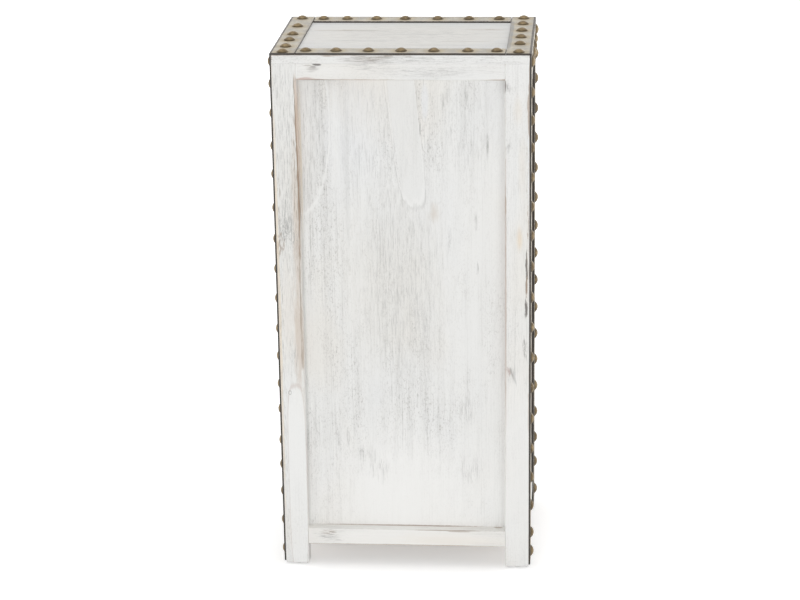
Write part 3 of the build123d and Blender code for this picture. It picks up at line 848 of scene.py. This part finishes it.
MARKS = {
    "post_back_right": (
        # Yellowed and brown streaks, and the darker inner edge
        back_mark(17, 560, 34, 330, IVORY, 0.28, soft=0.8, rough=0.4),
        back_mark(17, 560, 30, 370, GREY, 0.55, soft=0.7, rough=0.6, strokes=0.49),
        back_mark(29, 510, 9, 170, HONEY, 0.55, soft=0.9),
        back_mark(15, 400, 18, 90, BISCUIT, 0.40, soft=0.8, rough=0.4),
        back_mark(28, 355, 10, 115, HONEY, 0.62, soft=0.8),
        back_mark(28.5, 570, 4.5, 150, WALNUT, 0.60, soft=0.8, rough=0.8, strokes=0.48),
        back_mark(33.4, 650, 3.2, 105, PALE_WALNUT, 0.70, rough=0.4, lean=-0.3),
        back_mark(32.2, 628, 1.2, 125, WALNUT, 0.85, lean=-1.9),
        back_mark(32.8, 540, 1.5, 100, WALNUT, 0.70),
        back_mark(31.8, 400, 1.8, 150, WALNUT, 0.55, soft=0.7, rough=0.6),
        # A large knot with its grain, and a brown one at the outer edge
        back_mark(14, 507, 18, 26, GREY, 0.85, soft=0.9, rough=1.0, lean=-0.6, whorls=3.6),
        back_mark(16, 515, 15, 30, GREY, 0.80, soft=0.8, rough=0.9, strokes=0.45),
        back_mark(20, 545, 9, 30, GREY, 0.45, soft=0.8, rough=0.8, strokes=0.48),
        back_mark(-1, 488, 15, 21, WALNUT, 0.75, rough=0.8, whorls=2.1),
        back_mark(4, 484, 6, 16, WALNUT, 0.85, soft=0.8, rough=0.9, strokes=0.44),
        # Tan and brown along the outer edge, and more grain
        back_mark(5, 545, 4, 60, BROWN, 0.45, soft=0.8, rough=0.8, strokes=0.49),
        back_mark(1.5, 400, 2.6, 390, TAN, 0.75, soft=0.6),
        back_mark(4, 300, 5.0, 300, GREY, 0.60, soft=0.8, rough=0.8, strokes=0.49),
        back_mark(20, 320, 9, 34, GREY, 0.45, soft=0.9, rough=0.8, strokes=0.49),
        # A long pale patch at the foot with a rosy rim, a small ring, and paint over the upper joint
        back_mark(21, 130, 13, 153, PALE, 0.60, soft=0.12, rough=0.10, scale=60, blunt=True),
        back_mark(
            21, 130, 13.4, 154, ROSE_BROWN, 0.30, soft=0.04, rim=0.08, rough=0.06, scale=60, blunt=True
        ),
        back_mark(12.7, 266, 2.7, 3.6, GREY, 0.75, rim=0.5, soft=0.2, rough=0.3),
        back_mark(34, 736, 1.4, 12, PALE, 0.85, soft=0.4, rough=0.2),
    ),
    "back_top_rail": (
        # Bare lines along the lower edge
        back_mark(47, 724.6, 14, 3.4, DULL_ROSE, 0.80, soft=0.6, rough=0.4),
        back_mark(110, 723.5, 55, 1.4, ROSE_BROWN, 0.55, rough=0.7),
        back_mark(68, 723, 36, 0.9, INK, 0.80, rough=0.6),
        # A dark smudge near the left end
        back_mark(50, 743.6, 8, 1.2, DUST, 0.80, rough=0.9),
        back_mark(63, 744.4, 7, 2.2, INK, 0.95, rough=1.0),
        back_mark(58, 741.5, 5, 2.6, INK, 0.75, soft=0.8, rough=1.2),
        back_mark(56, 739.0, 11, 6.5, SMOKE, 0.85, soft=1.0, rough=1.0, strokes=0.44),
        back_mark(56, 739.0, 9, 6.0, DUST, 0.45, soft=1.0, rough=0.9),
        # Grain along the rail
        back_mark(136, 744, 44, 9, GREY, 0.75, soft=0.9, rough=0.6, strokes=0.47),
        back_mark(220, 735, 110, 10, GREY, 0.50, soft=0.8, rough=0.6, strokes=0.48),
        back_mark(70, 735, 50, 12, PALE, 0.30, soft=0.9),
        back_mark(34, 736, 1.4, 12, PALE, 0.85, soft=0.4, rough=0.2),
    ),
    "top_board": (
        # The back edge
        back_mark(132, 751, 46, 10, DUST, 0.50, soft=0.9),
        back_mark(134, 751, 44, 11, SMOKE, 0.75, soft=0.9, rough=0.8, strokes=0.45),
        back_mark(142, 753, 20, 4, WALNUT, 0.55, soft=0.9, rough=0.9, strokes=0.45),
        back_mark(100, 757, 130, 2.0, WALNUT, 0.45, rough=0.7, strokes=0.49),
        back_mark(220, 752, 130, 8, GREY, 0.50, soft=0.9, rough=0.7, strokes=0.48),
        # The upper face: its cream tone, and long streaks of grain
        top_mark(178, 130, 200, 110, CREAM_WHITE, 0.75, rough=0.4),
        top_mark(178, 130, 170, 105, GREY, 0.40, soft=0.6, strokes=0.48),
        top_mark(90, 172, 66, 9, DUN, 0.85, soft=1.0, rough=0.6, strokes=0.42),
        top_mark(110, 169, 60, 3.0, GREY, 0.55, soft=1.0, rough=0.45),
        top_mark(290, 178, 40, 9, DUN, 0.85, soft=1.0, rough=0.6, strokes=0.42),
        top_mark(115, 97, 90, 3.0, GREY, 0.48, soft=1.0, rough=0.4),
        top_mark(225, 69, 115, 2.8, GREY, 0.46, soft=1.0, rough=0.4),
        top_mark(200, 145, 135, 2.6, GREY, 0.42, soft=1.0, rough=0.45),
        top_mark(265, 95, 60, 3.0, STRAW, 0.50, soft=1.0, rough=0.45),
        top_mark(150, 120, 100, 2.0, DUST, 0.34, soft=0.9, rough=0.8),
    ),
    "post_back_left": (
        # Tan patches
        back_mark(345, 600, 9, 70, TAN, 0.20, soft=0.9, rough=0.3),
        back_mark(341.3, 497, 6.5, 25, TAN, 0.62, soft=0.9, rough=0.2),
        back_mark(341.3, 497, 3.5, 17, TAN, 0.50, soft=0.9, rough=0.2),
        back_mark(339, 680, 9, 30, TAN, 0.24, soft=0.9, rough=0.3),
        # Dark chips along the outer edge
        back_mark(351.2, 458, 2.2, 26, INK, 0.90, rough=1.0, scale=420),
        back_mark(351.3, 428, 1.8, 20, WALNUT, 0.85, rough=1.0, scale=420),
        back_mark(350.6, 396, 2.6, 17, INK, 0.90, rough=1.0, scale=420),
        back_mark(352.5, 560, 2.0, 160, BROWN, 0.80, rough=0.8, strokes=0.50),
        back_mark(349, 338, 4.5, 22, INK, 0.85, soft=0.8, rough=0.9, strokes=0.47),
        back_mark(350, 290, 3.5, 30, INK, 0.60, soft=0.8, rough=0.9, strokes=0.50),
        # A scraped knot
        back_mark(331, 298, 10, 20, GREY, 0.80, soft=0.9, rough=0.9, strokes=0.45),
        back_mark(326, 301, 4.6, 9, RED_BROWN, 0.95, soft=0.8, rough=0.9, strokes=0.42),
        back_mark(331, 298, 2.2, 14, SOOT, 0.75, lean=-1.6, soft=0.8, rough=1.1),
        back_mark(335, 289, 2.0, 10, GREY, 0.65, lean=-1.2, soft=0.8, rough=1.1),
        # The inner edge and its upper end, and the tone of the lower part
        back_mark(321.6, 714, 1.3, 11, INK, 0.75, lean=0.6, rough=0.9),
        back_mark(326, 713, 5.5, 10, INK, 0.75, soft=0.9, rough=1.0, strokes=0.47),
        back_mark(325.6, 629, 3.6, 10, GREY, 0.85, soft=0.9, rough=1.0, strokes=0.45),
        back_mark(321.8, 400, 2.2, 345, ROSE_BROWN, 0.62, soft=0.8, rough=0.6),
        back_mark(338, 400, 30, 360, GREY, 0.24, soft=0.7, rough=0.6, strokes=0.51),
        back_mark(338, 150, 40, 220, PALE, 0.50, soft=0.6, rough=0.2),
        back_mark(321, 736, 1.4, 12, PALE, 0.85, soft=0.4, rough=0.2),
    ),
    "back_bottom_rail": (
        back_mark(178, 42, 160, 20, RAIL_WHITE, 0.65, rough=0.3),
        back_mark(240, 40, 110, 14, TAN, 0.22, soft=0.9, rough=0.3),
        back_mark(64, 45, 24, 14, GREY, 0.80, soft=1.0, rough=1.1, strokes=0.45),
        back_mark(63, 50, 14, 6, WALNUT, 0.80, soft=1.0, rough=1.1, strokes=0.44),
        # Dark lines along its upper and lower edges
        back_mark(178, 56.5, 150, 3, RUST, 0.65, inwards=15, deep=2.0),
        back_mark(243, 56.0, 80, 1.0, WALNUT, 0.55, deep=1.2),
        back_mark(253, 54.4, 22, 0.9, WALNUT, 0.50, deep=1.6, rough=0.9),
        back_mark(311, 57, 8, 3, WALNUT, 0.65, inwards=14, deep=4, rough=0.8),
        back_mark(178, 32, 150, 1.2, WALNUT, 0.55, deep=4, rough=0.6),
    ),
    "back_panel": (
        # Broad tones and grain
        panel_mark(110, 640, 70, 110, COOL_WHITE, 0.35, soft=0.9, rough=0.3),
        panel_mark(150, 430, 110, 170, OATMEAL, 0.36, soft=0.9, rough=0.3),
        panel_mark(290, 420, 70, 330, WARM_WHITE, 0.42, soft=0.8, rough=0.2),
        panel_mark(175, 430, 90, 230, GREY, 0.42, soft=0.8, strokes=0.49),
        panel_mark(179, 430, 80, 200, SOFT_GREY, 0.13, soft=0.9, rough=0.4),
        panel_mark(150, 640, 120, 120, GREY, 0.30, soft=0.7, strokes=0.50),
        panel_mark(270, 640, 60, 110, GREY, 0.28, soft=0.9, strokes=0.50),
        panel_mark(210, 690, 7, 34, COOL_WHITE, 0.50, soft=0.6, rough=0.2),
        # A long leaning tongue of grain below the top rail, with a thin grey line of painted shade outside
        # its rim
        panel_mark(177, 713, 19, 178, DULL_WHITE, 0.72, soft=0.05, rough=0.05, lean=-0.94, blunt=True),
        # A thin grey line of painted shade just outside the tongue's rim
        panel_mark(
            175.5, 713, 22.2, 181, GREY, 0.30, soft=0.04, rim=0.06, rough=0.10, lean=-0.88, blunt=True
        ),
        panel_mark(176, 713, 20.5, 179, PALE, 0.42, soft=0.04, rim=0.10, rough=0.06, lean=-0.90, blunt=True),
        # An oval of grain at the upper left, the streaks beside it, and painted shade along the left edge
        # beside the recess wall
        panel_mark(36, 663, 38, 135, SOFT_GREY, 0.09, soft=0.3, rough=0.3),
        panel_mark(46, 630, 32, 100, GREY, 0.42, soft=0.6, rough=0.6, strokes=0.48),
        panel_mark(36, 663, 43, 141, PALE, 0.70, soft=0.05, rim=0.10, rough=0.06),
        # A tan band of painted shade on the panel beside the left recess wall
        panel_mark(35.5, 600, 3.0, 150, TAN, 0.60, soft=0.8, rough=0.4),
        panel_mark(85, 640, 9, 150, PALE, 0.40, soft=0.7, rough=0.3),
        panel_mark(100, 600, 6, 170, SOFT_GREY, 0.24, soft=0.8),
        # Short dark grain, from the top down
        panel_mark(235, 688, 5, 18, GREY, 0.62, soft=1.0, rough=0.8, strokes=0.46),
        panel_mark(241, 696, 9, 14, GREY, 0.30, soft=1.0, rough=0.8, strokes=0.47),
        panel_mark(266, 691, 6, 19, GREY, 0.66, soft=1.0, rough=0.8, strokes=0.45),
        panel_mark(203, 652, 1.3, 17, GREY, 0.75, soft=0.9, rough=0.6),
        panel_mark(296, 628, 3.0, 20, GREY, 0.75, soft=1.0, rough=0.9, strokes=0.44),
        panel_mark(243, 494, 5.0, 30, GREY, 0.55, soft=1.0, rough=0.9, strokes=0.46),
        panel_mark(280, 518, 2.6, 20, GREY, 0.62, soft=1.0, rough=0.8, strokes=0.44),
        panel_mark(282, 450, 2.0, 11, GREY, 0.80, soft=0.9, rough=0.7, strokes=0.42),
        panel_mark(222, 529, 12, 20, SAND, 0.45, soft=1.0, rough=0.6),
        # The lower part painted whiter, as painted light from the floor's bounce, with its grain
        panel_mark(178, 90, 200, 170, PAINTED_LIGHT_WHITE, 0.85, soft=0.8, rough=0.25),
        panel_mark(80, 192, 4.0, 18, GREY, 0.60, soft=0.8, rough=0.6, strokes=0.46),
        panel_mark(94, 194, 3.6, 18, GREY, 0.60, soft=0.8, rough=0.6, strokes=0.46),
        panel_mark(112, 171, 6.0, 15, GREY, 0.80, soft=1.0, rough=1.0, strokes=0.42),
        panel_mark(127, 156, 22, 30, GREY, 0.45, soft=1.0, rough=1.1, strokes=0.47),
        panel_mark(143, 142, 14, 26, GREY, 0.40, soft=1.0, rough=1.1, strokes=0.47),
        panel_mark(271, 143, 26, 30, GREY, 0.42, soft=1.0, rough=1.1, strokes=0.47),
        panel_mark(265, 235, 16, 30, GREY, 0.55, soft=1.0, rough=0.9, strokes=0.46),
        # The shaded left edge and the line at the foot
        panel_mark(34, 300, 4, 330, SOFT_GREY, 0.50, soft=0.9, rough=0.4),
        panel_mark(180, 57, 160, 1.2, WALNUT, 0.65, soft=0.8),
    ),
}

# A grey band along the top's right strap in the photograph
TOP_STRAP_MARKS = (
    back_mark(323.6, 758, 5.2, 40, SLATE, 0.80, inwards=130, deep=112, soft=0.3, rough=0.14, blunt=True),
)

# Painted shade on each post's inner corner at the side's recess: brown over the recess wall and darkest
# beside the strap
CORNER_THICK = 1.4 * MM
CORNER_HIGH_SHARE = 0.52
CORNER_SHADE_MARKS = (
    # How far in from the side, half width, colour and strength
    (PANEL_INWARDS / 2, 9.0, CORNER_SHADE_BROWN, 0.55),
    (0.0, 4.5, CORNER_SHADOW_DARK, 0.85),
)


def recess_corner_shade(sign, depth):
    """Painted shade on the inner corner of a post, where the side's recess ends, darkest beside the strap.
    """
    y = y_front + post_arm if depth == "front" else y_back - post_arm
    marks = []
    for inwards, wide, color, strength in CORNER_SHADE_MARKS:
        centre = (sign * (side_x - inwards * MM), y, (z_foot + z_top) / 2)
        radii = (wide * MM, CORNER_THICK, (z_top - z_foot) * CORNER_HIGH_SHARE)
        marks.append(mark(centre, radii, color, strength, soft=0.3, rough=0.3, blunt=True))
    return tuple(marks)


KNOT_SHORT_SHARE = 0.6
KNOT_GRAIN_SHARE = 1.7


def knot(centre, size, long, short):
    """A knot under thin paint, long along one axis and short along another: a darker heart with
    whorls, and strokes of grain round it."""

    def radii(reach):
        lengths = dict.fromkeys("xyz", MARK_DEPTH * MM)
        lengths[long] = reach * MM
        lengths[short] = reach * KNOT_SHORT_SHARE * MM
        return tuple(lengths.values())

    return (
        mark(centre, radii(size * KNOT_GRAIN_SHARE), GREY, 0.6, soft=1.0, rough=1.0, strokes=0.46),
        mark(centre, radii(size), WALNUT, 0.55, soft=0.9, rough=0.8, whorls=2.6),
    )


# Painted shade on the inner corners of all four posts
for side, sign in (("left", -1), ("right", 1)):
    for depth in ("front", "back"):
        node = f"post_{depth}_{side}"
        MARKS[node] = MARKS.get(node, ()) + recess_corner_shade(sign, depth)

# Each drawer front's knot: how far across it, and how far up as a share of its height
FRONT_KNOTS = ((1, 95 * MM, 0.66), (2, -88 * MM, 0.30), (3, 60 * MM, 0.22), (4, -112 * MM, 0.62))
FRONT_KNOT_SIZE = 9
# The grime round its pull, and dark grain low down on the side away from the knot
PULL_GRIME = (46 * MM, MARK_DEPTH * MM, 42 * MM)
FRONT_GRAIN = (90 * MM, MARK_DEPTH * MM, 16 * MM)
FRONT_GRAIN_ACROSS = -0.6
FRONT_GRAIN_UP = 20 * MM
for number, across, up_share in FRONT_KNOTS:
    node = f"drawer_front_{number}"
    low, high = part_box(node)
    middle = (low.z + high.z) / 2
    up = low.z + (high.z - low.z) * up_share
    grain_place = (across * FRONT_GRAIN_ACROSS, low.y, low.z + FRONT_GRAIN_UP)
    MARKS[node] = (
        mark((0, low.y, middle), PULL_GRIME, DUST, 0.30, soft=1.0),
        mark(grain_place, FRONT_GRAIN, GREY, 0.45, soft=1.0, rough=0.8, strokes=0.48),
        *knot((across, low.y, up), FRONT_KNOT_SIZE, "x", "z"),
    )

# Each side panel's knot, how far back and how far up, and dark grain above the one on the right
left_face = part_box("side_panel_left")[0].x
right_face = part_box("side_panel_right")[1].x
SIDE_KNOT_SIZE = 12
SIDE_GRAIN = (MARK_DEPTH * MM, 70 * MM, 200 * MM)
MARKS["side_panel_left"] = knot((left_face, 30 * MM, 250 * MM), SIDE_KNOT_SIZE, "z", "y")
MARKS["side_panel_right"] = (
    mark((right_face, -12.5 * MM, 680 * MM), SIDE_GRAIN, GREY, 0.5, soft=0.9, rough=0.6, strokes=0.48),
    *knot((right_face, -25 * MM, 560 * MM), SIDE_KNOT_SIZE, "z", "y"),
)


# The scene

make_camera()
make_light()
make_floor()
make_whitewash_group()
brass = aged_brass("nail_brass")
pull_brass = aged_brass("pull_brass", fineness=1.3, shine=0.72)
ring_brass = aged_brass("ring_brass", fineness=1.3, shine=1.5)
paint = strap_paint("strap_paint")
top_paint = strap_paint("top_strap_paint", TOP_STRAP_MARKS)
dark_edge = strap_edge("strap_edge")
plastic = moulded_plastic("glide_plastic")

for nail_node, strap_node, out, face in (
    ("top_nails", "top_straps", (0, 0, 1), top_paint),
    ("side_nails_left", "side_straps_left", (-1, 0, 0), paint),
    ("side_nails_right", "side_straps_right", (1, 0, 0), paint),
    ("front_nails", "front_straps", (0, -1, 0), paint),
):
    straps(strap_node, out, nails(nail_node, out), face)

# thin is how thin the paint is, and so how much grain shows
for depth in ("front", "back"):
    for side in ("left", "right"):
        board(f"post_{depth}_{side}", "z", thin=0.75, joined="+z")
for side in ("left", "right"):
    board(f"side_top_rail_{side}", "y", thin=0.5, joined="-y +y +z")
    board(f"side_bottom_rail_{side}", "y", thin=0.6, joined="-y +y")
    board(f"side_panel_{side}", "z", thin=1.0)
for depth in ("back", "front"):
    board(f"{depth}_top_rail", "x", thin=0.75, joined="-x +x +z")
    board(f"{depth}_bottom_rail", "x", thin=0.45, joined="-x +x", wear=0.15)
for number in (1, 2, 3):
    board(f"drawer_divider_{number}", "x", thin=0.9, joined="-x +x")
for number in (1, 2, 3, 4):
    board(f"drawer_front_{number}", "x", thin=1.1)
board("top_board", "x", thin=1.0, joined="-z")
board("back_panel", "z", thin=1.15)

pine_across = bare_pine("pine_up", "x", (0.3, 0.1, 0.2))
pine_deep = bare_pine("pine_deep", "y", (1.3, 0.4, 0.7))
DRESSES = (
    (("drawer_side", "drawer_runners", "top_cleats", "drawer_stops"), pine_deep),
    (("drawer_back", "drawer_bottom"), pine_across),
    (("pull_plate",), pull_brass),
    (("pull_ring",), ring_brass),
    (("foot_glides",), plastic),
)
for node in nodes:
    for prefixes, material in DRESSES:
        if node.startswith(prefixes):
            dress(node, material)

bpy.context.scene.view_settings.view_transform = "Standard"
